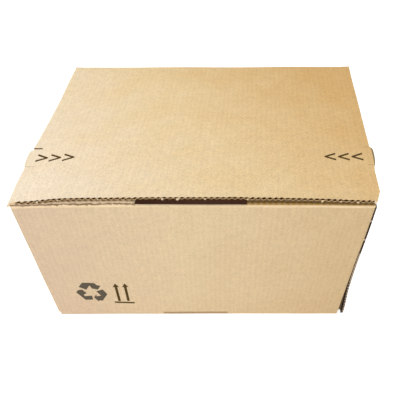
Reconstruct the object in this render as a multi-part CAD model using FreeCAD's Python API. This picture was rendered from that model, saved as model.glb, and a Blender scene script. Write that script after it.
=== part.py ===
import FreeCAD, Part
import math
import os

# A closed box of corrugated board, folded from one blank and glued shut.
# X runs along the width, Y from front to back and Z upwards.
# The origin is in the middle of the footprint, on the floor. All sizes are millimetres.

# Outside of the walls
WIDTH = 400.0
DEPTH = 286.0
HEIGHT = 224.0

# Board and folds
BOARD = 3.0
LINER = 0.4
FLUTING = 0.3
FLUTE_PITCH = 6.35
FLUTE_CREST = 1.0
INSIDE_RADIUS = 0.5
LAYER_GAP = 0.3
CORNER_RELIEF = 1.5
SHORTEST_EDGE = 0.01

# Lid
LID_OVERHANG = 4.5
LID_SETBACK = 3.0
LID_SOLID_MARGIN = 9.0
HINGE_CRUSH = 6.0
CUT_CORNER_WIDTH = 6.0
CUT_CORNER_LENGTH = 22.0

# Tear strip across the lid, with a finger tab at each end
TEAR_FROM_FRONT = 77.0
TEAR_TAB_WIDTH = 30.0
TEAR_TAB_REACH = 5.0
TEAR_SLIT_WIDTH = 1.0
TEAR_SLIT_LENGTH = 8.0
TEAR_TAPE_WIDTH = 5.0
TEAR_TAPE_THICKNESS = 0.2

# Flap folded back from the top of the front wall, with a slot on its fold
FRONT_FLAP_DEPTH = 72.0
FRONT_FLAP_TAPER = 8.0
FRONT_SLOT_LENGTH = 122.0
FRONT_SLOT_BACK = 9.0
FRONT_SLOT_DROP = 1.8

# Dust flaps folded in from the side walls
DUST_FLAP_LENGTH = 126.0
DUST_FLAP_TAPER = 10.0

# Glued seam at the front right corner
GLUE_TAB_LENGTH = 35.0
GLUE_TAB_TAPER = 8.0
RIGHT_EDGE_GROOVE = 1.5

# Base: the front and back flaps interlock under the two side flaps
SEAM_GAP = 1.0
SEAM_STEP = 30.0
SEAM_SLOPE = 40.0
BASE_FLAP_LENGTH = 122.0
BASE_FLAP_CORNER = 18.0
BASE_SLOT_LENGTH = 89.0
BASE_SLOT_HEIGHT = 1.5

# Adhesive
CLOSURE_FROM_FRONT = 16.0
CLOSURE_WIDTH = 24.0
CLOSURE_END_MARGIN = 30.0
JOINT_GLUE_WIDTH = 22.0
JOINT_GLUE_END_MARGIN = 12.0
BASE_GLUE_WIDTH = 45.0
BASE_GLUE_FROM_WALL = 32.0
BASE_GLUE_FROM_FREE_EDGE = 16.0

# Printed marks, whose ink soaks into the outer liner
INK_DEPTH = 0.05
CHEVRON_COUNT = 3
CHEVRON_PITCH = 16.0
CHEVRON_LENGTH = 13.0
CHEVRON_WIDTH = 12.4
CHEVRON_STROKE = 1.9
CHEVRON_INSET = 10.5
MARK_HEIGHT = 49.5
RECYCLING_FROM_LEFT = 56.0
RECYCLING_SIDE = 12.0
RECYCLING_CORNER = 17.0
RECYCLING_BAND = 9.5
RECYCLING_HEAD_WIDTH = 13.5
RECYCLING_HEAD_LENGTH = 7.5
RECYCLING_GAP = 1.6
UP_MARK_FROM_LEFT = 98.7
UP_ARROW_PITCH = 12.2
UP_ARROW_HEIGHT = 40.0
UP_ARROW_SHAFT = 2.6
UP_ARROW_HEAD_WIDTH = 7.4
UP_ARROW_HEAD_LENGTH = 6.8
UP_BAR_LENGTH = 27.5
UP_BAR_THICKNESS = 1.6
UP_BAR_GAP = 3.4

# Levels and places that follow from the sizes above
FOLD_RADIUS = INSIDE_RADIUS + BOARD
LAYER = BOARD + LAYER_GAP
LEFT = -WIDTH / 2
RIGHT = WIDTH / 2
FRONT = -DEPTH / 2
BACK = DEPTH / 2
SEAM_X = RIGHT - LAYER
LID_UNDERSIDE = HEIGHT - BOARD
FRONT_FLAP_TOP = HEIGHT - LAYER
DUST_FLAP_TOP = HEIGHT - 2 * LAYER
FOLD_END = FOLD_RADIUS + CORNER_RELIEF
TUBE_BOTTOM = LAYER + FOLD_RADIUS
TUBE_TOP = DUST_FLAP_TOP - FOLD_RADIUS
LID_HALF_WIDTH = WIDTH / 2 + LID_OVERHANG
LID_FRONT = FRONT + LID_SETBACK
LID_BACK = BACK - FOLD_RADIUS
TEAR_Y = FRONT + TEAR_FROM_FRONT


def on_plan(across, along):
    return FreeCAD.Vector(across, along, 0)


def on_side_view(across, along):
    return FreeCAD.Vector(0, across, along)


def on_front_view(across, along):
    return FreeCAD.Vector(across, 0, along)


def outline(points, place, start, stretch):
    """A straight-sided outline, moved by start and drawn out along stretch."""
    corners = [place(*point) for point in points]
    face = Part.Face(Part.makePolygon(corners + corners[:1]))
    face.translate(start)
    return face.extrude(stretch)


def block(x, y, z):
    """A box between two values on each axis."""
    size = (x[1] - x[0], y[1] - y[0], z[1] - z[0])
    return Part.makeBox(*size, FreeCAD.Vector(x[0], y[0], z[0]))


def unit(start, end):
    return (end - start).normalize()


def folded_line(path, radius):
    """The path's straight runs and quarter rounds, at the given radius from each fold's centre."""
    edges = []
    depth = FOLD_RADIUS - radius
    turn = unit(path[1], path[2])
    start = path[0] + turn * depth
    for before, corner, after in zip(path, path[1:], path[2:]):
        into = unit(before, corner)
        out = unit(corner, after)
        centre = corner - into * FOLD_RADIUS + out * FOLD_RADIUS
        first = centre - out * radius
        last = centre + into * radius
        middle = centre + (into - out).normalize() * radius
        if start.distanceToPoint(first) > SHORTEST_EDGE:
            edges.append(Part.makeLine(start, first))
        edges.append(Part.Arc(first, middle, last).toShape())
        start = last
    end = path[-1] - unit(path[-3], path[-2]) * depth
    if start.distanceToPoint(end) > SHORTEST_EDGE:
        edges.append(Part.makeLine(start, end))
    return Part.Wire(edges)


def folded_sheet(points, place, start, stretch):
    """One thickness of board that follows points on its outside and always folds the same way."""
    path = [place(*point) for point in points]
    outside = folded_line(path, FOLD_RADIUS)
    inside = folded_line(path, INSIDE_RADIUS)
    ends = [
        Part.makeLine(outside.OrderedVertexes[side].Point, inside.OrderedVertexes[side].Point)
        for side in (0, -1)
    ]
    wire = Part.Wire(Part.__sortEdges__(outside.Edges + inside.Edges + ends))
    face = Part.Face(wire)
    face.translate(start)
    return face.extrude(stretch)


def wall_tube():
    """The four walls as one bent sheet, from the glue tab round to the right wall's cut edge."""
    path = [
        (SEAM_X, FRONT + GLUE_TAB_LENGTH),
        (SEAM_X, FRONT),
        (LEFT, FRONT),
        (LEFT, BACK),
        (RIGHT, BACK),
        (RIGHT, FRONT),
    ]
    height = TUBE_TOP - TUBE_BOTTOM
    tube = folded_sheet(
        path, on_plan, FreeCAD.Vector(0, 0, TUBE_BOTTOM), FreeCAD.Vector(0, 0, height)
    )
    return tube.cut([glue_tab_taper(), right_edge_groove()])


def glue_tab_taper():
    """The slanted ends of the glue tab."""
    edge = FRONT + GLUE_TAB_LENGTH
    root = FRONT + FOLD_END
    x_range = (SEAM_X - FOLD_RADIUS, SEAM_X + LAYER_GAP / 2)
    wedges = []
    for end, inward in ((TUBE_BOTTOM, 1), (TUBE_TOP, -1)):
        points = [(root, end), (edge, end), (edge, end + inward * GLUE_TAB_TAPER)]
        start = FreeCAD.Vector(x_range[0], 0, 0)
        stretch = FreeCAD.Vector(x_range[1] - x_range[0], 0, 0)
        wedges.append(outline(points, on_side_view, start, stretch))
    return wedges[0].fuse(wedges[1])


def right_edge_groove():
    """The right wall is cut along a flute, so its front edge is a groove between two liners."""
    return block(
        (RIGHT - BOARD + LINER, RIGHT - LINER),
        (FRONT - LAYER_GAP, FRONT + RIGHT_EDGE_GROOVE),
        (TUBE_BOTTOM - BOARD, TUBE_TOP + BOARD),
    )


def front_wall_folds():
    """The front wall with its upper and lower folds."""
    path = [
        (FRONT + FOLD_RADIUS, 0),
        (FRONT, 0),
        (FRONT, FRONT_FLAP_TOP),
        (FRONT + FOLD_RADIUS, FRONT_FLAP_TOP),
    ]
    left = LEFT + FOLD_END
    length = SEAM_X - FOLD_END - left
    return folded_sheet(path, on_side_view, FreeCAD.Vector(left, 0, 0), FreeCAD.Vector(length, 0, 0))


def back_wall_folds():
    """The back wall with the lid's hinge fold and the lower fold."""
    path = [
        (BACK - FOLD_RADIUS, 0),
        (BACK, 0),
        (BACK, HEIGHT),
        (BACK - FOLD_RADIUS, HEIGHT),
    ]
    left = LEFT + FOLD_END
    length = WIDTH - 2 * FOLD_END
    return folded_sheet(path, on_side_view, FreeCAD.Vector(left, 0, 0), FreeCAD.Vector(length, 0, 0))


def side_wall_folds(side):
    """A side wall with the folds of its dust flap and its base flap."""
    wall = side * WIDTH / 2
    inner = wall - side * FOLD_RADIUS
    path = [
        (inner, LAYER),
        (wall, LAYER),
        (wall, DUST_FLAP_TOP),
        (inner, DUST_FLAP_TOP),
    ]
    length = DEPTH - 2 * FOLD_END
    return folded_sheet(
        path, on_front_view, FreeCAD.Vector(0, FRONT + FOLD_END, 0), FreeCAD.Vector(0, length, 0)
    )


def level_flap(points, bottom):
    """A flat flap, one board thick."""
    return outline(
        points, on_plan, FreeCAD.Vector(0, 0, bottom), FreeCAD.Vector(0, 0, BOARD)
    )


def front_flap():
    """The flap under the lid that takes the closure adhesive."""
    left = LEFT + FOLD_END
    right = SEAM_X - FOLD_END
    near = FRONT + FOLD_RADIUS
    far = FRONT + FRONT_FLAP_DEPTH
    points = [
        (left, near),
        (right, near),
        (right - FRONT_FLAP_TAPER, far),
        (left + FRONT_FLAP_TAPER, far),
    ]
    return level_flap(points, FRONT_FLAP_TOP - BOARD)


def dust_flap(side):
    """A flap from the top of a side wall, under the lid and the front flap."""
    root = side * (WIDTH / 2 - FOLD_RADIUS)
    free = side * (WIDTH / 2 - DUST_FLAP_LENGTH)
    near = FRONT + FOLD_END
    far = BACK - FOLD_END
    points = [
        (root, near),
        (free, near + DUST_FLAP_TAPER),
        (free, far - DUST_FLAP_TAPER),
        (root, far),
    ]
    return level_flap(points, DUST_FLAP_TOP - BOARD)


def base_side_flap(side):
    """A flap from the foot of a side wall, inside the box."""
    root = side * (WIDTH / 2 - FOLD_RADIUS)
    free = side * (WIDTH / 2 - BASE_FLAP_LENGTH)
    shoulder = free + side * BASE_FLAP_CORNER
    near = FRONT + FOLD_END
    far = BACK - FOLD_END
    points = [
        (root, near),
        (shoulder, near),
        (free, near + BASE_FLAP_CORNER),
        (free, far - BASE_FLAP_CORNER),
        (shoulder, far),
        (root, far),
    ]
    return level_flap(points, LAYER)


def base_seam(shift):
    """The stepped line on which the front and back base flaps meet, from right to left."""
    half = WIDTH / 2
    return [
        (half, SEAM_STEP + shift),
        (SEAM_SLOPE / 2, SEAM_STEP + shift),
        (-SEAM_SLOPE / 2, -SEAM_STEP + shift),
        (-half, -SEAM_STEP + shift),
    ]


def base_long_flap(root, left, right, shift):
    """A flap from the foot of the front or the back wall, up to the stepped seam."""
    seam = base_seam(shift)
    points = [
        (left, root),
        (right, root),
        (right, seam[0][1]),
        seam[1],
        seam[2],
        (left, seam[3][1]),
    ]
    return level_flap(points, 0)


def lid_outline():
    """The lid's edge, with a finger tab on each side and one cut corner at the front right."""
    half = LID_HALF_WIDTH
    tab = TEAR_TAB_WIDTH / 2
    corners = {
        "back_left": (-half, LID_BACK),
        "back_right": (half, LID_BACK),
        "right_tab_back": (half, TEAR_Y + tab),
        "right_tab_front": (half, TEAR_Y - tab),
        "cut_back": (half, LID_FRONT + CUT_CORNER_LENGTH),
        "cut_front": (half - CUT_CORNER_WIDTH, LID_FRONT),
        "front_left": (-half, LID_FRONT),
        "left_tab_front": (-half, TEAR_Y - tab),
        "left_tab_back": (-half, TEAR_Y + tab),
    }
    at = {name: on_plan(*point) for name, point in corners.items()}
    reach = half + TEAR_TAB_REACH
    right_tab = Part.Arc(at["right_tab_back"], on_plan(reach, TEAR_Y), at["right_tab_front"])
    left_tab = Part.Arc(at["left_tab_front"], on_plan(-reach, TEAR_Y), at["left_tab_back"])
    return [
        Part.makeLine(at["back_left"], at["back_right"]),
        Part.makeLine(at["back_right"], at["right_tab_back"]),
        right_tab.toShape(),
        Part.makeLine(at["right_tab_front"], at["cut_back"]),
        Part.makeLine(at["cut_back"], at["cut_front"]),
        Part.makeLine(at["cut_front"], at["front_left"]),
        Part.makeLine(at["front_left"], at["left_tab_front"]),
        left_tab.toShape(),
        Part.makeLine(at["left_tab_back"], at["back_left"]),
    ]


def flute_channels():
    """The hollows between the lid's liners and its fluting, open at the front edge."""
    low = LID_UNDERSIDE + LINER
    high = HEIGHT - LINER
    count = int((2 * LID_HALF_WIDTH - 2 * LID_SOLID_MARGIN) / FLUTE_PITCH)
    first = -count * FLUTE_PITCH / 2
    half_mouth = (FLUTE_PITCH - FLUTE_CREST) / 2
    start = LID_FRONT - LAYER_GAP
    run = FreeCAD.Vector(0, LID_BACK - HINGE_CRUSH - start, 0)
    channels = []
    for number in range(2 * count - 1):
        middle = first + (number + 1) * FLUTE_PITCH / 2
        mouth, tip = (high, low + FLUTING) if number % 2 == 0 else (low, high - FLUTING)
        points = [(middle - half_mouth, mouth), (middle + half_mouth, mouth), (middle, tip)]
        channels.append(outline(points, on_front_view, FreeCAD.Vector(0, start, 0), run))
    return channels


def tear_slits():
    """The slits at both ends of each finger tab."""
    slits = []
    for side in (-1, 1):
        for end in (-1, 1):
            outer = side * (LID_HALF_WIDTH + TEAR_TAB_REACH)
            inner = side * (LID_HALF_WIDTH - TEAR_SLIT_LENGTH)
            middle = TEAR_Y + end * (TEAR_TAB_WIDTH + TEAR_SLIT_WIDTH) / 2
            slits.append(block(
                (min(outer, inner), max(outer, inner)),
                (middle - TEAR_SLIT_WIDTH / 2, middle + TEAR_SLIT_WIDTH / 2),
                (LID_UNDERSIDE - LAYER_GAP, HEIGHT + LAYER_GAP),
            ))
    return slits


def lid():
    """The panel hinged on the back wall, which covers the whole top."""
    face = Part.Face(Part.Wire(lid_outline()))
    face.translate(FreeCAD.Vector(0, 0, LID_UNDERSIDE))
    panel = face.extrude(FreeCAD.Vector(0, 0, BOARD))
    return panel.cut(flute_channels() + tear_slits())


def fold_slots():
    """A slot on the front wall's upper fold and a shallow one on its lower fold."""
    upper = block(
        (-FRONT_SLOT_LENGTH / 2, FRONT_SLOT_LENGTH / 2),
        (FRONT - BOARD, FRONT + FRONT_SLOT_BACK),
        (FRONT_FLAP_TOP - FRONT_SLOT_DROP, FRONT_FLAP_TOP + LAYER_GAP / 2),
    )
    upper_inside = block(
        (-FRONT_SLOT_LENGTH / 2, FRONT_SLOT_LENGTH / 2),
        (FRONT + BOARD, FRONT + FRONT_SLOT_BACK),
        (FRONT_FLAP_TOP - FOLD_RADIUS, FRONT_FLAP_TOP + LAYER_GAP / 2),
    )
    lower = block(
        (-BASE_SLOT_LENGTH / 2, BASE_SLOT_LENGTH / 2),
        (FRONT - BOARD, FRONT + FOLD_RADIUS),
        (-BOARD, BASE_SLOT_HEIGHT),
    )
    return [upper, upper_inside, lower]


def box_blank():
    """The whole box as one folded sheet."""
    left = LEFT + FOLD_END
    walls = wall_tube()
    pieces = [
        front_wall_folds(),
        back_wall_folds(),
        side_wall_folds(-1),
        side_wall_folds(1),
        front_flap(),
        dust_flap(-1),
        dust_flap(1),
        base_side_flap(-1),
        base_side_flap(1),
        base_long_flap(FRONT + FOLD_RADIUS, left, SEAM_X - FOLD_END, -SEAM_GAP / 2),
        base_long_flap(BACK - FOLD_RADIUS, left, RIGHT - FOLD_END, SEAM_GAP / 2),
    ]
    body = walls.fuse(pieces).removeSplitter()
    return body.cut(fold_slots()).fuse(lid())


def tear_tape():
    """The tape under the lid that cuts it open when a finger tab is pulled."""
    return block(
        (-LID_HALF_WIDTH, LID_HALF_WIDTH),
        (TEAR_Y - TEAR_TAPE_WIDTH / 2, TEAR_Y + TEAR_TAPE_WIDTH / 2),
        (LID_UNDERSIDE - TEAR_TAPE_THICKNESS, LID_UNDERSIDE),
    )


def closure_adhesive():
    """The strip that holds the lid on the front flap."""
    near = FRONT + CLOSURE_FROM_FRONT
    return block(
        (LEFT + CLOSURE_END_MARGIN, RIGHT - CLOSURE_END_MARGIN),
        (near, near + CLOSURE_WIDTH),
        (FRONT_FLAP_TOP, LID_UNDERSIDE),
    )


def joint_glue():
    """The glue between the glue tab and the right wall."""
    near = FRONT + FOLD_END
    end = GLUE_TAB_TAPER + JOINT_GLUE_END_MARGIN
    return block(
        (SEAM_X, RIGHT - BOARD),
        (near, near + JOINT_GLUE_WIDTH),
        (TUBE_BOTTOM + end, TUBE_TOP - end),
    )


def base_glue(side):
    """The glue between a side flap and the long flap under it, at the front on the right side."""
    free = WIDTH / 2 - BASE_FLAP_LENGTH + BASE_GLUE_FROM_FREE_EDGE
    x = sorted((side * free, side * (free + BASE_GLUE_WIDTH)))
    near = SEAM_STEP + SEAM_GAP
    far = DEPTH / 2 - BASE_GLUE_FROM_WALL
    y = sorted((-side * near, -side * far))
    return block(x, y, (BOARD, LAYER))


def chevron(tip, direction):
    """One arrowhead stroke on the lid, whose tip points along X."""
    half = CHEVRON_WIDTH / 2
    slant = math.hypot(half, CHEVRON_LENGTH)
    point = CHEVRON_STROKE / 2 * slant / half
    aside = CHEVRON_STROKE / 2 * half / slant
    up = CHEVRON_STROKE / 2 * CHEVRON_LENGTH / slant
    upper = [(-CHEVRON_LENGTH + aside, half + up), (-CHEVRON_LENGTH - aside, half - up)]
    lower = [(across, -along) for across, along in reversed(upper)]
    shape = [(point, 0)] + upper + [(-point, 0)] + lower
    placed = [(tip + direction * across, TEAR_Y + along) for across, along in shape]
    return outline(
        placed, on_plan, FreeCAD.Vector(0, 0, HEIGHT), FreeCAD.Vector(0, 0, -INK_DEPTH)
    )


def tear_chevrons():
    """Rows of arrowheads that point inwards from the finger tabs."""
    marks = []
    for side in (-1, 1):
        for number in range(CHEVRON_COUNT):
            outer = LID_HALF_WIDTH - CHEVRON_INSET - number * CHEVRON_PITCH
            marks.append(chevron(side * (outer - CHEVRON_LENGTH), -side))
    return Part.makeCompound(marks)


def front_print(points, x, z):
    """A printed shape on the front wall, drawn round the point x, z."""
    placed = [(x + across, z + up) for across, up in points]
    return outline(
        placed, on_front_view, FreeCAD.Vector(0, FRONT, 0), FreeCAD.Vector(0, INK_DEPTH, 0)
    )


def crossing(first, second):
    """Where two lines cross, each given by its normal's angle and its distance from the centre."""
    (angle_1, distance_1), (angle_2, distance_2) = first, second
    a, b = math.radians(angle_1), math.radians(angle_2)
    scale = math.sin(b - a)
    x = (distance_1 * math.sin(b) - distance_2 * math.sin(a)) / scale
    z = (distance_2 * math.cos(a) - distance_1 * math.cos(b)) / scale
    return (x, z)


def along_side(angle, distance, run):
    """A point on the side with this normal, run mm clockwise from the side's middle."""
    a = math.radians(angle)
    return (
        distance * math.cos(a) + run * math.sin(a),
        distance * math.sin(a) - run * math.cos(a),
    )


def bent_arrow(angle):
    """An arrow bent round the triangle's corner in the direction of angle."""
    outer = RECYCLING_SIDE + RECYCLING_BAND / 2
    inner = RECYCLING_SIDE - RECYCLING_BAND / 2
    outer_corner = RECYCLING_CORNER + RECYCLING_BAND / 2
    before = angle + 60
    after = angle - 60
    tip = RECYCLING_HEAD_LENGTH / 2
    start = tip + RECYCLING_GAP
    head = RECYCLING_HEAD_WIDTH / 2
    return [
        along_side(before, outer, start),
        crossing((before, outer), (angle, outer_corner)),
        crossing((angle, outer_corner), (after, outer)),
        along_side(after, outer, -tip),
        along_side(after, RECYCLING_SIDE + head, -tip),
        along_side(after, RECYCLING_SIDE, tip),
        along_side(after, RECYCLING_SIDE - head, -tip),
        along_side(after, inner, -tip),
        crossing((after, inner), (before, inner)),
        along_side(before, inner, start),
    ]


def recycling_mark():
    """Three arrows that chase each other round a triangle."""
    x = LEFT + RECYCLING_FROM_LEFT
    arrows = [front_print(bent_arrow(angle), x, MARK_HEIGHT) for angle in (90, 210, 330)]
    return Part.makeCompound(arrows)


def up_arrow():
    """An upright arrow round its own middle."""
    top = UP_ARROW_HEIGHT / 2
    neck = top - UP_ARROW_HEAD_LENGTH
    shaft = UP_ARROW_SHAFT / 2
    head = UP_ARROW_HEAD_WIDTH / 2
    return [
        (-shaft, -top),
        (shaft, -top),
        (shaft, neck),
        (head, neck),
        (0, top),
        (-head, neck),
        (-shaft, neck),
    ]


def this_way_up_mark():
    """Two upright arrows over a bar."""
    x = LEFT + UP_MARK_FROM_LEFT
    half = UP_BAR_LENGTH / 2
    bar_top = -UP_ARROW_HEIGHT / 2 - UP_BAR_GAP
    bar = [
        (-half, bar_top - UP_BAR_THICKNESS),
        (half, bar_top - UP_BAR_THICKNESS),
        (half, bar_top),
        (-half, bar_top),
    ]
    return Part.makeCompound([
        front_print(up_arrow(), x - UP_ARROW_PITCH / 2, MARK_HEIGHT),
        front_print(up_arrow(), x + UP_ARROW_PITCH / 2, MARK_HEIGHT),
        front_print(bar, x, MARK_HEIGHT),
    ])


marks = {
    "tear_chevrons": tear_chevrons(),
    "recycling_mark": recycling_mark(),
    "this_way_up_mark": this_way_up_mark(),
}

nodes = {
    "box_blank": box_blank().cut(list(marks.values())),
    "tear_tape": tear_tape(),
    "closure_adhesive": closure_adhesive(),
    "joint_glue": joint_glue(),
    "base_glue_left": base_glue(-1),
    "base_glue_right": base_glue(1),
    **marks,
}

os.makedirs("parts", exist_ok=True)
for name, shape in nodes.items():
    shape.exportStep("parts/" + name + ".step")
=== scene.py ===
import math

import bmesh
import bpy
from mathutils import Matrix, Vector, noise


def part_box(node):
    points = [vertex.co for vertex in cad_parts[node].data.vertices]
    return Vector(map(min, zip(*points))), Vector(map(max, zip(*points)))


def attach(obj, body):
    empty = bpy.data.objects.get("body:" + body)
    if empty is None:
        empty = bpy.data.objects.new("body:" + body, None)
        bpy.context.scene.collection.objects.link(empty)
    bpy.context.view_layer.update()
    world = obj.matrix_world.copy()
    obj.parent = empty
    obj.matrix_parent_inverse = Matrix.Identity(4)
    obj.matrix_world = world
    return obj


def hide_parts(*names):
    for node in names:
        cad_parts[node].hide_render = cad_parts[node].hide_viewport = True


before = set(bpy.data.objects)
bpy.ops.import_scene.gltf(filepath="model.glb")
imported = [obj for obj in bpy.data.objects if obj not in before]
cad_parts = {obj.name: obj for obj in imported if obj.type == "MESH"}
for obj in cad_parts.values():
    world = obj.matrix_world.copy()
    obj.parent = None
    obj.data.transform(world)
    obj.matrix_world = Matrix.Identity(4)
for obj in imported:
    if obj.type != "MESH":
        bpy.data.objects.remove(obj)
noise.seed_set(4)
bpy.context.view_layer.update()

# The box's own sizes in millimetres, read from the frame
MM = 0.001
blank_low, blank_high = [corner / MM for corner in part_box("box_blank")]
tape_low, tape_high = [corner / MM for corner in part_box("tear_tape")]
glue_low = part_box("joint_glue")[0] / MM
closure_low, closure_high = [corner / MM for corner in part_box("closure_adhesive")]
FRONT = blank_low.y
BACK = blank_high.y
HEIGHT = blank_high.z
LID_EDGE = tape_high.x
TEAR_LINE = (tape_low.y + tape_high.y) / 2
BOARD = HEIGHT - closure_high.z
GAP = closure_high.z - closure_low.z
SEAM = glue_low.x
RIGHT = SEAM + GAP + BOARD
LEFT = -RIGHT

# Board and folds in millimetres
INSIDE_RADIUS = 0.5
FOLD_RADIUS = INSIDE_RADIUS + BOARD
CREASE_RADIUS = 1.5
FOLD_STEPS = 6
LAP = 1.5
FOLD_END = FOLD_RADIUS + LAP
CORNER_PINCH = 0.8
FOOT_PINCH = 2.6
LINER = 0.4
MEDIUM = 0.45
FRAYED = 1.0
FLUTE_PITCH = 6.35
CELL = 6.0
HALF_CELL = CELL / 2
SHARP_ANGLE = math.radians(35)

# Levels in millimetres
FLAP_TOP = HEIGHT - BOARD - GAP
DUST_TOP = FLAP_TOP - BOARD - GAP
BASE_INNER = BOARD + GAP
TUBE_LOW = BASE_INNER + FOLD_RADIUS
TUBE_HIGH = DUST_TOP - FOLD_RADIUS
SEAM_FOOT = 2.0
SEAM_TOP = DUST_TOP + 1.4

# Lid in millimetres
LID_FRONT = FRONT + 3.0
LID_BACK = BACK - FOLD_END
CUT_CORNER = (5.3, 15.0)
TAB_HALF = 15.0
TAB_BACK = {-1: 15.0, 1: 17.0}
TAB_FULL = 0.3
LEFT_TAB_REACH = 3.3
RIGHT_TAB_REACH = 3.1
TORN_TAB_REACH = 0.9
TAB_STEPS = 14
TAB_ROUNDNESS = 0.5
SLIT_LENGTH = {-1: 10.5, 1: 8.0}
SERRATION_PITCH = 2.5
SERRATION_DEPTH = 0.9
HINGE_WING = BACK - 0.6
WING_ROOT = RIGHT - FOLD_END + 0.2
WING_LENGTH = 4.0
REAR_SLITS = {-1: 2.6, 1: 0.6}
REAR_SLIT_BACK = {-1: 1.9, 1: 0.0}
FRONT_SLIT = 0.6
NUB = 1.1
NUB_START = 3.1
NUB_LENGTH = 45.0
RIGHT_TRIM = 1.0
FLUTES_FROM = -194.4
FLUTES_TO = 196.3
FLUTES_NEAR = LID_FRONT + 0.4
HINGE_CRUSH = 6.0
EDGE_STEP = 1.5
EDGE_RAGGED = 0.5
RAGGED_SIZE = 3.0
RAGGED_ROW = 7.0
EDGE_SCALLOP = 0.75

# Slots on the front wall's folds in millimetres
SLOT_LEFT = -64.8
SLOT_RIGHT = 57.6
UPPER_SLOT_DROP = 2.2
UPPER_SLOT_BACK = 16.0
LOWER_SLOT = 44.5
LOWER_SLOT_HEIGHT = 1.5
LOWER_SLOT_INSET = 0.9
LOWER_SLOT_SINK = 0.4

# Flaps in millimetres
FRONT_FLAP_DEPTH = 72.0
FRONT_FLAP_TAPER = 8.0
DUST_FLAP = 126.0
DUST_FLAP_TAPER = 10.0
GLUE_TAB = 35.0
BASE_FLAP = 122.0
BASE_FLAP_CORNER = 18.0
SEAM_STEP = 30.0
SEAM_SLOPE = 40.0
SEAM_HALF_GAP = 0.5

# How the real box has slackened, in millimetres and millimetres per millimetre
LEAN_BACK = 0.0543
LEAN_UP = 0.0113
BACK_RISE = 0.5
BACK_TILT = 0.006
BOW = 4.5
BOW_TOP = -52.0
BOW_LEFT = 133.0
BOW_RIGHT = 234.0
BOW_REACH = 150.0
BOW_SHOULDER = 3.8
SLOT_SPRING = 0.3
CORNER_SAG = 1.0
PUFF = 0.1
PUFF_REACH = 6.0
PUFF_ENDS = 40
LINER_SETBACK = 1.7
RIGHT_SETBACK = 0.35
SLOT_SLANT = 0.75
SLANT_REACH = 4.0
CURL = 4.8
CURL_LENGTH = 40.0
TIP_OUT = 1.5
TRIM_REACH = 12.0
LID_SKEW = 1.6
WALL_RISE = 0.9
MIDDLE_RISE = 0.35
RISE_SLOPE = 0.0105
CORNER_PRESS = 1.6
LEFT_PUSH = 1.8
LEFT_PULL = 0.9
SEAM_PUSH = 1.5
SEAM_PULL = 3.9
SEAM_CRUSH = 0.32
CRUSH_REACH = 4.0
EDGE_TUCK = 1.1
EDGE_HOLLOW = 1.2
EDGE_FLARE = 2.6
EDGE_WIDTH = 70.0
BUCKLE = 0.5
BUCKLE_SIZE = 70.0

# The stretches over which those shapes come in, in millimetres: none at the first, all at the second
FLOOR_RUN = (0, 20)
TWIST_RUN = (30, 140)
SPRING_RUN = (SLOT_RIGHT + 8, SLOT_RIGHT - 8)
SAG_RUN = (-150, -195)
TIP_RUN = (-165, -205)
TRIM_RUN = (180, 200)
SKEW_RUN = (90, 190)
NUB_RUN = (-185, -200)
SETBACK_RUN = (-20, 60)
PRESS_RUN = (-155, -200)
LEFT_RUN = (-120, -200)
FOLLOW_ACROSS = (SLOT_LEFT + 6, SLOT_LEFT - 6)
FOLLOW_UP = (HEIGHT - 30, HEIGHT - 4)
FOLLOW_BACK = (FRONT + 0.6, FRONT + 6.6)
SEAM_RUN = (60, 190)
HOLLOW_RUN = (205, 115)
FLARE_RUN = (70, 10)
CRUSH_RUN = (110, 170)
# Where the rubbing and painted highlight on the folds come in, off a panel's flat
WEAR_AND_HIGHLIGHT_RUN = (0.05, 0.65)


def ease(value):
    """0 up to 0, 1 from 1, and smooth between."""
    t = min(max(value, 0.0), 1.0)
    return t * t * (3 - 2 * t)


def rise(value, run):
    """0 up to the run's first place, 1 from its second, and smooth between."""
    start, end = run
    return ease((value - start) / (end - start))


def lean(point):
    """The whole box leans a little out of square and its walls buckle softly."""
    x, y, z = point
    sway = noise.noise_vector(Vector((x, y, z)) / BUCKLE_SIZE) * BUCKLE
    twist = (BACK_RISE - BACK_TILT * x) * rise(y, TWIST_RUN) * z / HEIGHT
    return Vector((
        x + LEAN_BACK * y + LEAN_UP * (z - HEIGHT / 2) + sway.x,
        y + sway.y,
        z + sway.z * rise(z, FLOOR_RUN) + twist,
    ))


def reach_back(y):
    """1 at the front edge, falling smoothly to 0 where the box has kept its shape."""
    return max(1 - (y - FRONT) / BOW_REACH, 0) ** 2


def bow_height(x, y):
    """How far the lid's front edge has sprung up; it is highest over the slot, and sags at the left."""
    aside = x - BOW_TOP
    if aside > 0:
        share = max(1 - (aside / BOW_RIGHT) ** 2, 0)
    else:
        share = ease(1 - (-aside / BOW_LEFT) ** BOW_SHOULDER)
    spring = SLOT_SPRING * rise(abs(x), SPRING_RUN)
    sag = CORNER_SAG * rise(x, SAG_RUN)
    return (BOW * share + spring - sag) * reach_back(y)


def open_edge(x):
    """How far the lid's front edge has come apart: 1 in the middle, 0 at its ends."""
    return 1 - min(abs(x / LID_EDGE), 1) ** PUFF_ENDS


def lid_shape(point):
    """The lid bows up and its cut edge puffs out; its left margin curls down in front."""
    x, y, z = point
    puff = PUFF * open_edge(x) * ease((LID_FRONT + PUFF_REACH - y) / PUFF_REACH)
    puffed = HEIGHT - BOARD + (z - HEIGHT + BOARD) * (1 + puff)
    curl = ease((FLUTES_FROM - x) / (LID_EDGE + FLUTES_FROM)) ** 2
    towards_front = ease((FRONT + CURL_LENGTH - y) / CURL_LENGTH)
    drop = CURL * curl * towards_front
    out = TIP_OUT * rise(x, TIP_RUN) * towards_front + nub(x, y)
    trim = RIGHT_TRIM * rise(x, TRIM_RUN) * ease((TEAR_LINE - TAB_HALF - y) / TRIM_REACH)
    forward = LID_SKEW * rise(x, SKEW_RUN) * reach_back(y)
    raised = puffed + bow_height(x, y) - drop
    return lean((x - out - trim, y - forward + edge_slant(x, y, z), raised))


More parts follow.
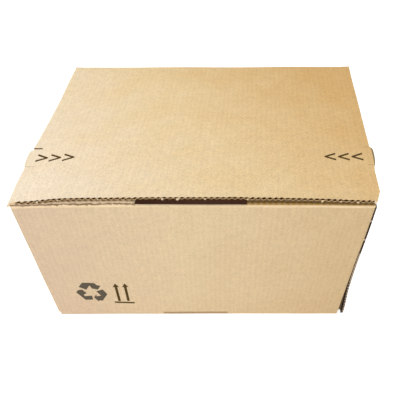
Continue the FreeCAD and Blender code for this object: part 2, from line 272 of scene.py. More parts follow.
def edge_slant(x, y, z):
    """How far the cut edge over the slot is pushed back at its foot."""
    over_slot = ease((x - SLOT_LEFT) / SLANT_REACH) * ease((SLOT_RIGHT - x) / SLANT_REACH)
    at_front = ease((LID_FRONT + SLANT_REACH - y) / SLANT_REACH)
    return SLOT_SLANT * over_slot * at_front * (HEIGHT - z) / BOARD


def nub(x, y):
    """How far the lid's left edge stands out just behind its finger tab."""
    behind = y - TEAR_LINE - TAB_HALF - NUB_START
    if behind < 0:
        return 0
    return NUB * rise(x, NUB_RUN) * ease(1 - behind / NUB_LENGTH)


def wall_rise(x, y):
    """The front wall stands a little higher on the left, but its left corner is pressed down."""
    pressed = CORNER_PRESS * rise(x, PRESS_RUN)
    return (min(WALL_RISE, MIDDLE_RISE - RISE_SLOPE * x) - pressed) * reach_back(y)


def wall_shape(point):
    """A wall: the left one leans outwards at the top and inwards at the foot."""
    x, y, z = point
    left = rise(x, LEFT_RUN) * (LEFT_PULL - (LEFT_PULL + LEFT_PUSH) * z / HEIGHT)
    return lean((x + left, y, z + wall_rise(x, y) * z / HEIGHT))


def front_shape(point):
    """The front wall: its flap rises to the lid on the left, and its right edge pulls in at the foot."""
    x, y, z = point
    follow = rise(x, FOLLOW_ACROSS) * rise(z, FOLLOW_UP)
    lift = max(bow_height(x, y) - wall_rise(x, y), 0) * follow * rise(y, FOLLOW_BACK)
    right = rise(x, SEAM_RUN) * ((SEAM_PUSH + SEAM_PULL) * z / HEIGHT - SEAM_PULL)
    return wall_shape((x + right, y, z + lift))


def right_shape(point):
    """The right wall: its free edge is pulled in and crushed above, and stands off at the foot."""
    x, y, z = point
    inwards = EDGE_TUCK + EDGE_HOLLOW * rise(z, HOLLOW_RUN) - EDGE_FLARE * rise(z, FLARE_RUN)
    near_edge = ease((FRONT + EDGE_WIDTH - y) / EDGE_WIDTH)
    crush = SEAM_CRUSH * rise(z, CRUSH_RUN) * ease((FRONT + FOLD_END - y) / CRUSH_REACH)
    return wall_shape((x - inwards * near_edge + (RIGHT - x) * crush, y, z))


def quarter(corner, into, out, inset, radius):
    """The points of one quarter round fold, its middle inset from a corner of the sheet's outside."""
    centre = corner - into * inset + out * inset
    turns = [math.pi / 2 * step / FOLD_STEPS for step in range(FOLD_STEPS + 1)]
    return [centre - out * radius * math.cos(t) + into * radius * math.sin(t) for t in turns]


def folded(path, turn):
    """The section of one board that follows path on its outside; turn is 1 for left, -1 for right."""
    corners = [Vector(point) for point in path]
    runs = [(b - a).normalized() for a, b in zip(corners, corners[1:])]
    inwards = [Vector((-run.y, run.x)) * turn for run in runs]
    outer = [corners[0]]
    inner = [corners[0] + inwards[0] * BOARD]
    for corner, into, out in zip(corners[1:], runs, runs[1:]):
        outer += quarter(corner, into, out, CREASE_RADIUS, CREASE_RADIUS)
        inner += quarter(corner, into, out, FOLD_RADIUS, INSIDE_RADIUS)
    outer.append(corners[-1])
    inner.append(corners[-1] + inwards[-1] * BOARD)
    return outer + inner[::-1]


def across_x(u, v, w):
    """For an outline seen along the width."""
    return (w, u, v)


def across_y(u, v, w):
    """For an outline seen from the front."""
    return (u, w, v)


def upright(u, v, w):
    """For an outline seen from above."""
    return (u, v, w)


def rectangle(left, right, near, far):
    """An outline with its sides along both axes."""
    return [(left, near), (right, near), (right, far), (left, far)]


def cut_into_cells(solid, cells):
    """Cuts a solid along planes one cell apart, so that it can bend."""
    for axis, cell in enumerate(cells):
        if not cell:
            continue
        values = [vert.co[axis] for vert in solid.verts]
        normal = Vector((0, 0, 0))
        normal[axis] = 1
        first = math.floor(min(values) / cell) + 1
        last = math.ceil(max(values) / cell)
        for number in range(first, last):
            everything = solid.verts[:] + solid.edges[:] + solid.faces[:]
            bmesh.ops.bisect_plane(
                solid, geom=everything, dist=0.001, plane_co=normal * number * cell, plane_no=normal
            )


def add_object(name, data):
    """A new object in the scene."""
    made = bpy.data.objects.new(name, data)
    bpy.context.scene.collection.objects.link(made)
    return made


class Piece:
    """Closed solids in millimetres that become one object of the box."""

    def __init__(self):
        self.points = []
        self.faces = []

    def add(self, outline, span, place, cells):
        """A solid with this outline, drawn out between the two values of span."""
        solid = bmesh.new()
        low = [solid.verts.new((u, v, span[0])) for u, v in outline]
        high = [solid.verts.new((u, v, span[1])) for u, v in outline]
        solid.faces.new(low)
        solid.faces.new(high)
        for here in range(len(outline)):
            after = (here + 1) % len(outline)
            solid.faces.new((low[here], low[after], high[after], high[here]))
        cut_into_cells(solid, cells)
        for vert in solid.verts:
            vert.co = place(*vert.co)
        bmesh.ops.recalc_face_normals(solid, faces=solid.faces)
        return self.take(solid)

    def take(self, solid):
        """Adds all of another mesh, which is freed."""
        first = len(self.points)
        solid.verts.index_update()
        self.points += [vert.co.copy() for vert in solid.verts]
        self.faces += [[first + vert.index for vert in face.verts] for face in solid.faces]
        solid.free()
        return self

    def finish(self, name, finish, shape, slot="kraft_board", stands_for="box_blank"):
        """Makes the object, bends it into its shape and ties it to the frame."""
        mesh = bpy.data.meshes.new(name)
        mesh.from_pydata([shape(point) * MM for point in self.points], [], self.faces)
        on_board = mesh.attributes.new("board", "FLOAT_VECTOR", "POINT")
        on_board.data.foreach_set("vector", [part for point in self.points for part in point])
        # Each point's share of rubbing and painted highlight on the folds
        worn_and_highlit = mesh.attributes.new("wear_and_highlight", "FLOAT", "POINT")
        worn_and_highlit.data.foreach_set("value", [wear_and_highlight_at(point) for point in self.points])
        mesh.shade_smooth()
        mesh.set_sharp_from_angle(angle=SHARP_ANGLE)
        mesh.materials.append(finish)
        made = add_object(name, mesh)
        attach(made, "root")
        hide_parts(stands_for)


def wear_and_highlight_at(point):
    """1 on a fold's round outside, 0 on the flat of a panel: where the folds get rubbing and a painted
    highlight.
    """
    x, y, z = point
    sides = min(abs(x - LEFT), abs(x - RIGHT), abs(x - SEAM), abs(y - FRONT), abs(y - BACK))
    levels = min(abs(z), abs(z - BASE_INNER), abs(z - DUST_TOP), abs(z - FLAP_TOP), abs(z - HEIGHT))
    return rise(min(sides, levels), WEAR_AND_HIGHLIGHT_RUN)


# Walls

def front_spans():
    """The stretches of the front wall: left end, right end, upper fold cut away, lower fold cut away."""
    return [
        (LEFT + FOLD_END, SLOT_LEFT, False, False),
        (SLOT_LEFT, -LOWER_SLOT, True, False),
        (-LOWER_SLOT, LOWER_SLOT, True, True),
        (LOWER_SLOT, SLOT_RIGHT, True, False),
        (SLOT_RIGHT, SEAM - FOLD_END, False, False),
    ]


def front_wall(finish):
    """The front wall with both its folds, each open along its slot."""
    piece = Piece()
    for left, right, upper_cut, lower_cut in front_spans():
        path = [(FRONT, LOWER_SLOT_HEIGHT)] if lower_cut else [(FRONT + FOLD_END, 0), (FRONT, 0)]
        if upper_cut:
            path.append((FRONT, FLAP_TOP - UPPER_SLOT_DROP))
        else:
            path += [(FRONT, FLAP_TOP), (FRONT + FOLD_END, FLAP_TOP)]
        piece.add(folded(path, -1), (left, right), across_x, (0, CELL, CELL))
    upper = [(FRONT, TUBE_HIGH), (FRONT, FLAP_TOP), (FRONT + FOLD_END, FLAP_TOP)]
    lower = [(FRONT + FOLD_END, 0), (FRONT, 0), (FRONT, TUBE_LOW)]
    for path, pinch in ((upper, CORNER_PINCH), (lower, FOOT_PINCH)):
        for ends in ((LEFT + pinch, LEFT + FOLD_END), (SEAM - FOLD_END, SEAM - CORNER_PINCH)):
            piece.add(folded(path, -1), ends, across_x, (0, CELL, CELL))
    piece.finish("front_wall", finish, front_shape)


def back_wall(finish):
    """The back wall, with the fold to the base flap and the fold on which the lid hinges."""
    path = [(BACK - FOLD_END, 0), (BACK, 0), (BACK, HEIGHT), (BACK - FOLD_END, HEIGHT)]
    ends = (LEFT + FOLD_END, RIGHT - FOLD_END)
    piece = Piece().add(folded(path, 1), ends, across_x, (0, CELL, CELL))
    foot = [(BACK - FOLD_END, 0), (BACK, 0), (BACK, TUBE_LOW)]
    for ends in ((LEFT + CORNER_PINCH, LEFT + FOLD_END), (RIGHT - FOLD_END, RIGHT - CORNER_PINCH)):
        piece.add(folded(foot, 1), ends, across_x, (0, CELL, CELL))
    piece.finish("back_wall", finish, wall_shape)


def side_wall(side, finish):
    """A side wall with its two folds; side is -1 for left and 1 for right."""
    wall = side * RIGHT
    inner = side * (RIGHT - FOLD_END)
    path = [(inner, BASE_INNER), (wall, BASE_INNER), (wall, DUST_TOP), (inner, DUST_TOP)]
    ends = (FRONT + FOLD_END, BACK - FOLD_END)
    piece = Piece().add(folded(path, side), ends, across_y, (0, CELL, CELL))
    if side < 0:
        piece.finish("left_wall", finish, wall_shape)
    else:
        piece.finish("right_wall", finish, right_shape)


def right_edge(finish):
    """The right wall's free edge: two liners with the cut-open fluting between them."""
    piece = Piece()
    for outside in (RIGHT, RIGHT - BOARD + LINER):
        outline = rectangle(outside - LINER, outside, FRONT, FRONT + FOLD_END)
        piece.add(outline, (SEAM_FOOT, SEAM_TOP), upright, (0, 0, CELL))
    piece.finish("right_edge_liners", finish, right_shape)


def corner_folds(finish):
    """The upright folds at the three plain corners of the tube."""
    paths = [
        [(LEFT + FOLD_END, FRONT), (LEFT, FRONT), (LEFT, FRONT + FOLD_END)],
        [(LEFT, BACK - FOLD_END), (LEFT, BACK), (LEFT + FOLD_END, BACK)],
        [(RIGHT - FOLD_END, BACK), (RIGHT, BACK), (RIGHT, BACK - FOLD_END)],
    ]
    piece = Piece()
    for path in paths:
        piece.add(folded(path, -1), (TUBE_LOW, TUBE_HIGH), upright, (0, 0, CELL))
    piece.finish("corner_folds", finish, wall_shape)


def glue_tab(finish):
    """The fold at the front right corner and the tab behind the right wall."""
    path = [(SEAM, FRONT + GLUE_TAB), (SEAM, FRONT), (SEAM - FOLD_END, FRONT)]
    piece = Piece().add(folded(path, -1), (TUBE_LOW, TUBE_HIGH), upright, (0, 0, CELL))
    piece.finish("glue_tab", finish, front_shape)


# Flaps

def level(outline, top, name, finish, shape):
    """A flat flap, one board thick."""
    piece = Piece().add(outline, (top - BOARD, top), upright, (CELL, CELL, 0))
    piece.finish(name, finish, shape)


def front_flap(finish):
    """The flap under the lid, with the slot's notch in its root."""
    left = LEFT + FOLD_END
    right = SEAM - FOLD_END
    near = FRONT + FOLD_END
    far = FRONT + FRONT_FLAP_DEPTH
    slot = FRONT + UPPER_SLOT_BACK
    outline = [
        (left, near),
        (SLOT_LEFT, near),
        (SLOT_LEFT, slot),
        (SLOT_RIGHT, slot),
        (SLOT_RIGHT, near),
        (right, near),
        (right - FRONT_FLAP_TAPER, far),
        (left + FRONT_FLAP_TAPER, far),
    ]
    level(outline, FLAP_TOP, "front_flap", finish, front_shape)


def dust_flap(side, finish):
    """The flap from the top of a side wall, under the front flap."""
    root = side * (RIGHT - FOLD_END)
    free = side * (RIGHT - DUST_FLAP)
    near = FRONT + FOLD_END
    far = BACK - FOLD_END
    outline = [
        (root, near),
        (free, near + DUST_FLAP_TAPER),
        (free, far - DUST_FLAP_TAPER),
        (root, far),
    ]
    name = "dust_flap_left" if side < 0 else "dust_flap_right"
    level(outline, DUST_TOP, name, finish, lean)


def base_side_flap(side, finish):
    """The flap from the foot of a side wall, on the long base flaps."""
    root = side * (RIGHT - FOLD_END)
    free = side * (RIGHT - BASE_FLAP)
    shoulder = free + side * BASE_FLAP_CORNER
    near = FRONT + FOLD_END
    far = BACK - FOLD_END
    outline = [
        (root, near),
        (shoulder, near),
        (free, near + BASE_FLAP_CORNER),
        (free, far - BASE_FLAP_CORNER),
        (shoulder, far),
        (root, far),
    ]
    name = "base_side_flap_left" if side < 0 else "base_side_flap_right"
    level(outline, BASE_INNER + BOARD, name, finish, lean)


def base_slot_edge(finish):
    """The cut edge of the base flap, seen in the slot under the front wall."""
    outline = rectangle(-LOWER_SLOT, LOWER_SLOT, FRONT + LOWER_SLOT_INSET, FRONT + FOLD_END)
    level(outline, BOARD - LOWER_SLOT_SINK, "base_slot_edge", finish, lean)


def base_long_flap(side, finish):
    """The front (-1) or back (1) base flap, up to the stepped seam."""
    root = side * (BACK - FOLD_END)
    left = LEFT + FOLD_END
    right = (SEAM if side < 0 else RIGHT) - FOLD_END
    shift = side * SEAM_HALF_GAP
    outline = [
        (left, root),
        (right, root),
        (right, SEAM_STEP + shift),
        (SEAM_SLOPE / 2, SEAM_STEP + shift),
        (-SEAM_SLOPE / 2, -SEAM_STEP + shift),
        (left, -SEAM_STEP + shift),
    ]
    name = "base_flap_front" if side < 0 else "base_flap_back"
    level(outline, BOARD, name, finish, lean)


# Lid

def tab_line(side, reach, slits=True):
    """One side of the lid from back to front: wing, serrated edge, slit, half-round finger tab, slit."""
    edge = side * LID_EDGE
    inner = side * (LID_EDGE - SLIT_LENGTH[side])
    rear = TEAR_LINE + TAB_BACK[side]
    front = TEAR_LINE - TAB_HALF
    slit = rear + REAR_SLIT_BACK[side]
    root = side * WING_ROOT
    line = [(root, LID_BACK), (root, HINGE_WING), (edge, HINGE_WING)]
    first = HINGE_WING - WING_LENGTH
    teeth = int((first - rear) / SERRATION_PITCH)
    for tooth in range(teeth):
        y = first - tooth * SERRATION_PITCH
        line.append((edge, y))
        line.append((edge - side * SERRATION_DEPTH, y - SERRATION_PITCH / 2))
    if slits:
        behind = slit + REAR_SLITS[side]
        line += [(edge, behind), (inner, behind), (inner, slit), (edge, slit)]
    for step in range(TAB_STEPS + 1):
        turn = math.pi * step / TAB_STEPS
        out = reach * math.sin(turn) ** TAB_ROUNDNESS * (1 + TAB_FULL * math.cos(turn))
        half = TAB_BACK[side] if 2 * step < TAB_STEPS else TAB_HALF
        line.append((edge + side * out, TEAR_LINE + half * math.cos(turn)))
    if slits:
        line += [(inner, front), (inner, front - FRONT_SLIT), (edge, front - FRONT_SLIT)]
    return line


def ragged_front(left, right, amount, setback):
    """The cut front edge of a liner, slightly uneven, scalloped by the flutes."""
    count = int((right - left) / EDGE_STEP)
    xs = [left + (right - left) * step / count for step in range(1, count)]
    line = []
    for x in xs:
        rough = amount * noise.noise(Vector((x / RAGGED_SIZE, amount, RAGGED_ROW)))
        scallop = EDGE_SCALLOP * math.cos(2 * math.pi * x / FLUTE_PITCH)
        back = setback * open_edge(x) + min(setback, RIGHT_SETBACK) * rise(x, SETBACK_RUN)
        line.append((x, LID_FRONT + back + rough + scallop))
    return line


def liner_outline(amount, setback, reach):
    """The outline of one of the lid's liners, against the clock from the back left."""
    left = tab_line(-1, LEFT_TAB_REACH) + [(-LID_EDGE, LID_FRONT)]
    cut = (LID_EDGE - CUT_CORNER[0], LID_FRONT)
    front = ragged_front(-LID_EDGE, cut[0], amount, setback) + [cut]
    right = [(LID_EDGE, LID_FRONT + CUT_CORNER[1])] + tab_line(1, reach)[::-1]
    return left + front + right


def lid_liner(name, top, amount, setback, reach, finish):
    """One liner of the lid."""
    outline = liner_outline(amount, setback, reach)
    piece = Piece().add(outline, (top - LINER, top), upright, (HALF_CELL, HALF_CELL, 0))
    piece.finish(name, finish, lid_shape)


def lid_margins(finish):
    """The crushed margins between the liners, beside and behind the open flutes."""
    span = (HEIGHT - BOARD + LINER, HEIGHT - LINER)
    left = tab_line(-1, LEFT_TAB_REACH, False) + [(-LID_EDGE, LID_FRONT)]
    left += [(FLUTES_FROM, FLUTES_NEAR), (FLUTES_FROM, LID_BACK)]
    right = [
        (FLUTES_TO, LID_BACK),
        (FLUTES_TO, FLUTES_NEAR),
        (LID_EDGE - CUT_CORNER[0], LID_FRONT),
        (LID_EDGE, LID_FRONT + CUT_CORNER[1]),
    ]
    right += tab_line(1, RIGHT_TAB_REACH, False)[::-1]
    back = rectangle(FLUTES_FROM, FLUTES_TO, LID_BACK - HINGE_CRUSH, LID_BACK)
    piece = Piece()
    for outline in (left, right, back):
        piece.add(outline, span, upright, (HALF_CELL, CELL, 0))
    piece.finish("lid_margins", finish, lid_shape)


# Node graphs, written as sums

class Field:
    """A socket whose sums and products add their own Math nodes."""

    def __init__(self, graph, socket):
        self.graph = graph
        self.socket = socket

    def math(self, operation, *others):
        """A Math node of this field and the others, in their order."""
        values = dict(enumerate((self,) + others))
        return self.graph.node("ShaderNodeMath", values, operation=operation)

    def __add__(self, other):
        return self.math("ADD", other)

    def __sub__(self, other):
        return self.math("SUBTRACT", other)

    def __mul__(self, other):
        return self.math("MULTIPLY", other)

    def __truediv__(self, other):
        return self.math("DIVIDE", other)

    def __rsub__(self, other):
        return self.graph.node("ShaderNodeMath", {0: other, 1: self}, operation="SUBTRACT")

    __radd__ = __add__
    __rmul__ = __mul__


class Graph:
    """A node tree that is filled by calls."""

    def __init__(self, tree):
        self.tree = tree

    def node(self, kind, values, output=0, stops=None, **settings):
        """Adds a node: its settings first, then the values or links; gives one output, if any."""
        made = self.tree.nodes.new(kind)
        for name, value in settings.items():
            setattr(made, name, value)
        if stops:
            ramp = made.color_ramp.elements
            while len(ramp) < len(stops):
                ramp.new(0.5)
            for element, (place, colour) in zip(ramp, stops):
                element.position = place
                element.color = colour
        for name, value in values.items():
            if isinstance(value, Field):
                self.tree.links.new(value.socket, made.inputs[name])
            else:
                made.inputs[name].default_value = value
        return None if output is None else Field(self, made.outputs[output])

    def mix(self, factor, first, second, blend="MIX"):
        """Two colours mixed by factor."""
        values = {0: factor, 6: first, 7: second}
        return self.node("ShaderNodeMix", values, output=2, data_type="RGBA", blend_type=blend)


def split(vector):
    """The three parts of a vector field."""
    parts = vector.graph.node("ShaderNodeSeparateXYZ", {0: vector}).socket.node.outputs
    return [Field(vector.graph, part) for part in parts]


# The fluting between two liners: one wave that repeats

WOBBLE = 1.6
WOBBLE_SCALE = 0.09
DENT_SCALE = 0.16
DENT_FROM = 0.52
DENT_REACH = 14.0
DENT_MOST = 0.8
LID_DENTS = 5.0
LID_WAVE_STEPS = 12
LID_WAVE_ROWS = 36
SEAM_DENTS = 2.0
SEAM_WAVE_STEPS = 10
SEAM_WAVE_ROWS = 4
SEAM_WAVE_INSET = 0.3


def corrugation_tree():
    """A fine grid raised in flutes, which are dented here and there near its front edge."""
    tree = bpy.data.node_groups.new("corrugation", "GeometryNodeTree")
    graph = Graph(tree)
    inputs = {
        "Length": "NodeSocketFloat",
        "Depth": "NodeSocketFloat",
        "Pitch": "NodeSocketFloat",
        "Height": "NodeSocketFloat",
        "Crush": "NodeSocketFloat",
        "Points": "NodeSocketInt",
        "Rows": "NodeSocketInt",
        "Finish": "NodeSocketMaterial",
    }
    for name, kind in inputs.items():
        tree.interface.new_socket(name=name, in_out="INPUT", socket_type=kind)
    tree.interface.new_socket(name="Geometry", in_out="OUTPUT", socket_type="NodeSocketGeometry")
    given = {name: graph.node("NodeGroupInput", {}, output=name) for name in inputs}
    grid = graph.node("GeometryNodeMeshGrid", {
        "Size X": given["Length"],
        "Size Y": given["Depth"],
        "Vertices X": given["Points"],
        "Vertices Y": given["Rows"],
    })
    place = graph.node("GeometryNodeInputPosition", {})
    along, inward = split(place)[:2]
    turn = along * (2 * math.pi) / given["Pitch"]
    wobble_at = {"Vector": place, "Scale": WOBBLE_SCALE, "Detail": 1.0}
    wobble = graph.node("ShaderNodeTexNoise", wobble_at) - 0.5
    wave = (turn + wobble * WOBBLE).math("SINE")
    near_edge = (1 - (inward + given["Depth"] * 0.5) / DENT_REACH).math("MAXIMUM", 0.0)
    dent_at = {"Vector": place, "Scale": DENT_SCALE, "Detail": 0.0}
    dent = (graph.node("ShaderNodeTexNoise", dent_at) - DENT_FROM).math("MAXIMUM", 0.0)
    pressed = dent * given["Crush"] * near_edge
    height = wave * given["Height"] * 0.5 * (1 - pressed.math("MINIMUM", DENT_MOST))
    offset = graph.node("ShaderNodeCombineXYZ", {2: height})
    moved = graph.node("GeometryNodeSetPosition", {"Geometry": grid, "Offset": offset})
    real = graph.node("GeometryNodeRealizeInstances", {"Geometry": moved})
    dressed = {"Geometry": real, "Material": given["Finish"]}
    painted = graph.node("GeometryNodeSetMaterial", dressed)
    graph.node("NodeGroupOutput", {"Geometry": painted}, output=None)
    return tree


def corrugation(tree, finish, paper, **sizes):
    """One stretch of fluting as a closed sheet of this paper, in millimetres round its own middle."""
    carrier = add_object("corrugation", bpy.data.meshes.new("corrugation"))
    wave = carrier.modifiers.new("wave", "NODES")
    wave.node_group = tree
    height = BOARD - 2 * LINER - paper
    given = dict(sizes, Pitch=FLUTE_PITCH, Height=height, Finish=finish)
    for item in tree.interface.items_tree:
        if item.in_out == "INPUT":
            wave[item.identifier] = given[item.name]
    thick = carrier.modifiers.new("thickness", "SOLIDIFY")
    thick.thickness = paper
    thick.offset = 0
    evaluated = carrier.evaluated_get(bpy.context.evaluated_depsgraph_get())
    mesh = bpy.data.meshes.new_from_object(evaluated)
    bpy.data.objects.remove(carrier)
    solid = bmesh.new()
    solid.from_mesh(mesh)
    bpy.data.meshes.remove(mesh)
    return solid


def lid_fluting(tree, finish):
    """The wave between the lid's liners, open at the front edge."""
    length = FLUTES_TO - FLUTES_FROM
    far = LID_BACK - HINGE_CRUSH
    solid = corrugation(
        tree,
        finish,
        MEDIUM,
        Length=length,
        Depth=far - FLUTES_NEAR,
        Crush=LID_DENTS,
        Points=int(length / FLUTE_PITCH * LID_WAVE_STEPS) + 1,
        Rows=LID_WAVE_ROWS,
    )
    middle = Vector(((FLUTES_FROM + FLUTES_TO) / 2, (FLUTES_NEAR + far) / 2, HEIGHT - BOARD / 2))
    bmesh.ops.translate(solid, verts=solid.verts, vec=middle)
    Piece().take(solid).finish("lid_fluting", finish, lid_shape)


def right_edge_fluting(tree, finish):
    """The torn fluting seen between the liners of the right wall's free edge."""
    length = SEAM_TOP - SEAM_FOOT
    solid = corrugation(
        tree,
        finish,
        FRAYED,
        Length=length,
        Depth=FOLD_END,
        Crush=SEAM_DENTS,
        Points=int(length / FLUTE_PITCH * SEAM_WAVE_STEPS) + 1,
        Rows=SEAM_WAVE_ROWS,
    )
    turn = Matrix.Rotation(math.radians(-90), 4, "Y")
    y = FRONT + FOLD_END / 2 + SEAM_WAVE_INSET
    middle = Vector((RIGHT - BOARD / 2, y, (SEAM_FOOT + SEAM_TOP) / 2))
    bmesh.ops.transform(solid, verts=solid.verts, matrix=Matrix.Translation(middle) @ turn)
    Piece().take(solid).finish("right_edge_fluting", finish, right_shape)


# Torn bits of liner along the lid's front edge: place across, width, hanging length

SHREDS = (
    (-171.0, 2.2, 2.4),
    (-148.0, 1.6, 2.2),
    (-104.0, 1.6, 2.0),
    (-33.9, 3.2, 3.4),
    (-16.7, 4.4, 3.8),
    (11.8, 2.4, 2.6),
    (58.3, 2.0, 2.4),
    (139.3, 3.2, 4.2),
    (159.0, 1.8, 2.4),
    (177.6, 2.8, 4.0),
)
SHRED_TOP = HEIGHT - 0.1
SHRED_OUT = 0.5
SHRED_PAPER = 0.3

# A flake's corners, as shares of its width, of its slant and of its hanging length
FLAKE = ((-0.5, 0, 0), (-0.42, 0.4, 0.5), (-0.1, 1, 1), (0.22, 1, 0.86), (0.3, 0.4, 0.4), (0.5, 0, 0))


def shreds(finish):
    """Small ragged flakes of the upper liner that hang over the open flutes."""
    piece = Piece()
    near = LID_FRONT - SHRED_OUT
    for across, width, drop in SHREDS:
        slant = noise.noise(Vector((across, 3, 5))) * width
        outline = [
            (across + width * wide + slant * aside, SHRED_TOP - drop * down)
            for wide, aside, down in FLAKE
        ]
        piece.add(outline, (near, near + SHRED_PAPER), across_y, (0, 0, 0))
    piece.finish("edge_shreds", finish, lid_shape)


# The recycling mark's three bands as printed: places across and up, in millimetres

PRINT_LIFT = 0.12
PRINT_DEPTH = 0.05
ON_FRONT = (FRONT - PRINT_LIFT, FRONT + PRINT_DEPTH)
ON_LID = (HEIGHT - PRINT_DEPTH, HEIGHT + PRINT_LIFT)
MARK_BANDS = (
    (
        (-151.3, 76.8), (-141.1, 76.5), (-135.6, 75.8), (-133.2, 71.3),
        (-128.4, 69.9), (-130.9, 65.4), (-133.0, 61.1), (-140.6, 63.4),
        (-142.6, 70.7), (-148.7, 60.8), (-157.6, 67.1),
    ),
    (
        (-126.9, 61.4), (-122.6, 50.0), (-131.9, 34.4), (-135.3, 35.9),
        (-137.6, 33.0), (-142.0, 42.8), (-137.7, 49.5), (-137.9, 44.9),
        (-131.5, 46.6), (-136.1, 57.1),
    ),
    (
        (-160.0, 59.9), (-154.4, 60.9), (-149.9, 52.8), (-155.1, 48.7),
        (-153.7, 45.3), (-144.0, 46.6), (-144.2, 37.3), (-154.7, 36.6),
        (-163.9, 54.5),
    ),
)


def recycling_print(finish):
    """The three-arrow mark on the front."""
    piece = Piece()
    for band in MARK_BANDS:
        piece.add(band, ON_FRONT, across_y, (CELL, CELL, 0))
    piece.finish("recycling_print", finish, front_shape, "grey_ink", "recycling_mark")


# The upright arrows as printed, in millimetres

ARROW_PLACES = (-108.6, -96.4)
ARROW_TIP = 74.9
ARROW_NECK = 66.8
ARROW_FOOT = 34.0
ARROW_HEAD = 4.1
ARROW_SHAFT = 1.75
BAR = ((-115.6, 29.6), (-88.6, 27.7), (-88.6, 31.1), (-115.6, 33.0))


def up_arrow(middle):
    """One arrow's outline."""
    return [
        (middle - ARROW_SHAFT, ARROW_FOOT),
        (middle + ARROW_SHAFT, ARROW_FOOT),
        (middle + ARROW_SHAFT, ARROW_NECK),
        (middle + ARROW_HEAD, ARROW_NECK),
        (middle, ARROW_TIP),
        (middle - ARROW_HEAD, ARROW_NECK),
        (middle - ARROW_SHAFT, ARROW_NECK),
    ]


def up_print(finish):
    """The two arrows and their bar on the front."""
    piece = Piece()
    for outline in [up_arrow(middle) for middle in ARROW_PLACES] + [BAR]:
        piece.add(outline, ON_FRONT, across_y, (CELL, CELL, 0))
    piece.finish("up_print", finish, front_shape, "dark_ink", "this_way_up_mark")


# The rows of arrowheads on the lid as printed, in millimetres; both point inwards

CHEVRON_COUNT = 3
CHEVRON_PITCH = 16.0
CHEVRON_ENDS = {-1: 9.1, 1: 11.3}
CHEVRON_ALONG = {-1: 0.5, 1: -0.85}
CHEVRON_LENGTH = 12.4
CHEVRON_HALF = 5.65
CHEVRON_STROKE = 2.8
CHEVRON_BLUNT = 0.7
CHEVRON_CUT = 0.3


def chevron(ends, side, middle):
    """One arrowhead stroke: its arms end at ends, and its blunt tip points inwards."""
    rise = CHEVRON_STROKE / 2
    blunt = rise - CHEVRON_HALF * CHEVRON_BLUNT / CHEVRON_LENGTH
    notch = rise * CHEVRON_LENGTH / CHEVRON_HALF
    rear = [
        (CHEVRON_LENGTH + CHEVRON_BLUNT, blunt),
        (0, CHEVRON_HALF + rise),
        (-CHEVRON_CUT, CHEVRON_HALF - rise),
    ]
    front = [(inward, -along) for inward, along in reversed(rear)]
    shape = rear + [(CHEVRON_LENGTH - notch, 0)] + front
    return [(ends - side * inward, middle + along) for inward, along in shape]


def chevron_print(finish):
    """Both rows of arrowheads."""
    piece = Piece()
    for side in (-1, 1):
        for number in range(CHEVRON_COUNT):
            ends = side * (LID_EDGE - CHEVRON_ENDS[side] - number * CHEVRON_PITCH)
            outline = chevron(ends, side, TEAR_LINE + CHEVRON_ALONG[side])
            piece.add(outline, ON_LID, upright, (HALF_CELL, HALF_CELL, 0))
    piece.finish("chevron_print", finish, lid_shape, "dark_ink", "tear_chevrons")


# Copies of thin pieces that follow the box's lean

def dressed_copy(node, name, finish, slot, shape):
    """The node's own solids, divided so that they bend."""
    solid = bmesh.new()
    solid.from_mesh(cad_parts[node].data)
    bmesh.ops.remove_doubles(solid, verts=solid.verts, dist=MM * 0.01)
    bmesh.ops.scale(solid, verts=solid.verts, vec=Vector((1, 1, 1)) / MM)
    cut_into_cells(solid, (HALF_CELL, HALF_CELL, HALF_CELL))
    Piece().take(solid).finish(name, finish, shape, slot, node)


# Colours of the board, as the photo shows it

# PALE_KRAFT, KRAFT and DEEP_KRAFT paint light falloff on the lid, pale at the front left and deeper at the
# back right; WALL_LEFT, WALL_KRAFT and WALL_RIGHT paint light falloff across the walls
PALE_KRAFT = (0.84, 0.71, 0.54, 1)
KRAFT = (0.80, 0.61, 0.345, 1)
DEEP_KRAFT = (0.72, 0.46, 0.19, 1)
WALL_KRAFT = (0.745, 0.583, 0.362, 1)
WALL_LEFT = (0.705, 0.532, 0.365, 1)
WALL_RIGHT = (0.665, 0.48, 0.265, 1)
# Rubbed paler folds with a painted highlight
WORN_AND_HIGHLIT_KRAFT = (0.88, 0.76, 0.60, 1)
CUT_PAPER = (0.82, 0.64, 0.42, 1)
FLUTE_PAPER = (0.74, 0.50, 0.26, 1)
# Painted shade inside the fluting, behind the cut edges
FLUTE_DEPTH_SHADE = (0.09, 0.04, 0.011, 1)
# The dark olive-brown strip on the front flap's fold right of the slot
DARK_FLAP_STRIP = (0.40, 0.235, 0.06, 1)
# A painted highlight for the front wall's top rim
RIM_HIGHLIGHT = (0.93, 0.72, 0.45, 1)
CREASE = (0.11, 0.055, 0.014, 1)
# Painted shade for the seam's crevice and the right wall's free edge
SEAM_SHADE = (0.045, 0.026, 0.014, 1)
SEAM_STRIPE = (0.74, 0.61, 0.48, 1)
# Painted shade for the lid's slits, and the dark of its torn tab
SLIT_SHADE_AND_TORN_PAPER = (0.11, 0.062, 0.018, 1)
FLECK = (0.40, 0.26, 0.13, 1)
# Painted shade under the front wall's foot, along its slot
FOOT_SHADE = (0.27, 0.15, 0.04, 1)
GREY_INK = (0.118, 0.096, 0.07, 1)
BROWN_INK = (0.09, 0.053, 0.015, 1)
GLUE_COLOUR = (0.72, 0.62, 0.42, 1)
TAPE_COLOUR = (0.60, 0.48, 0.30, 1)

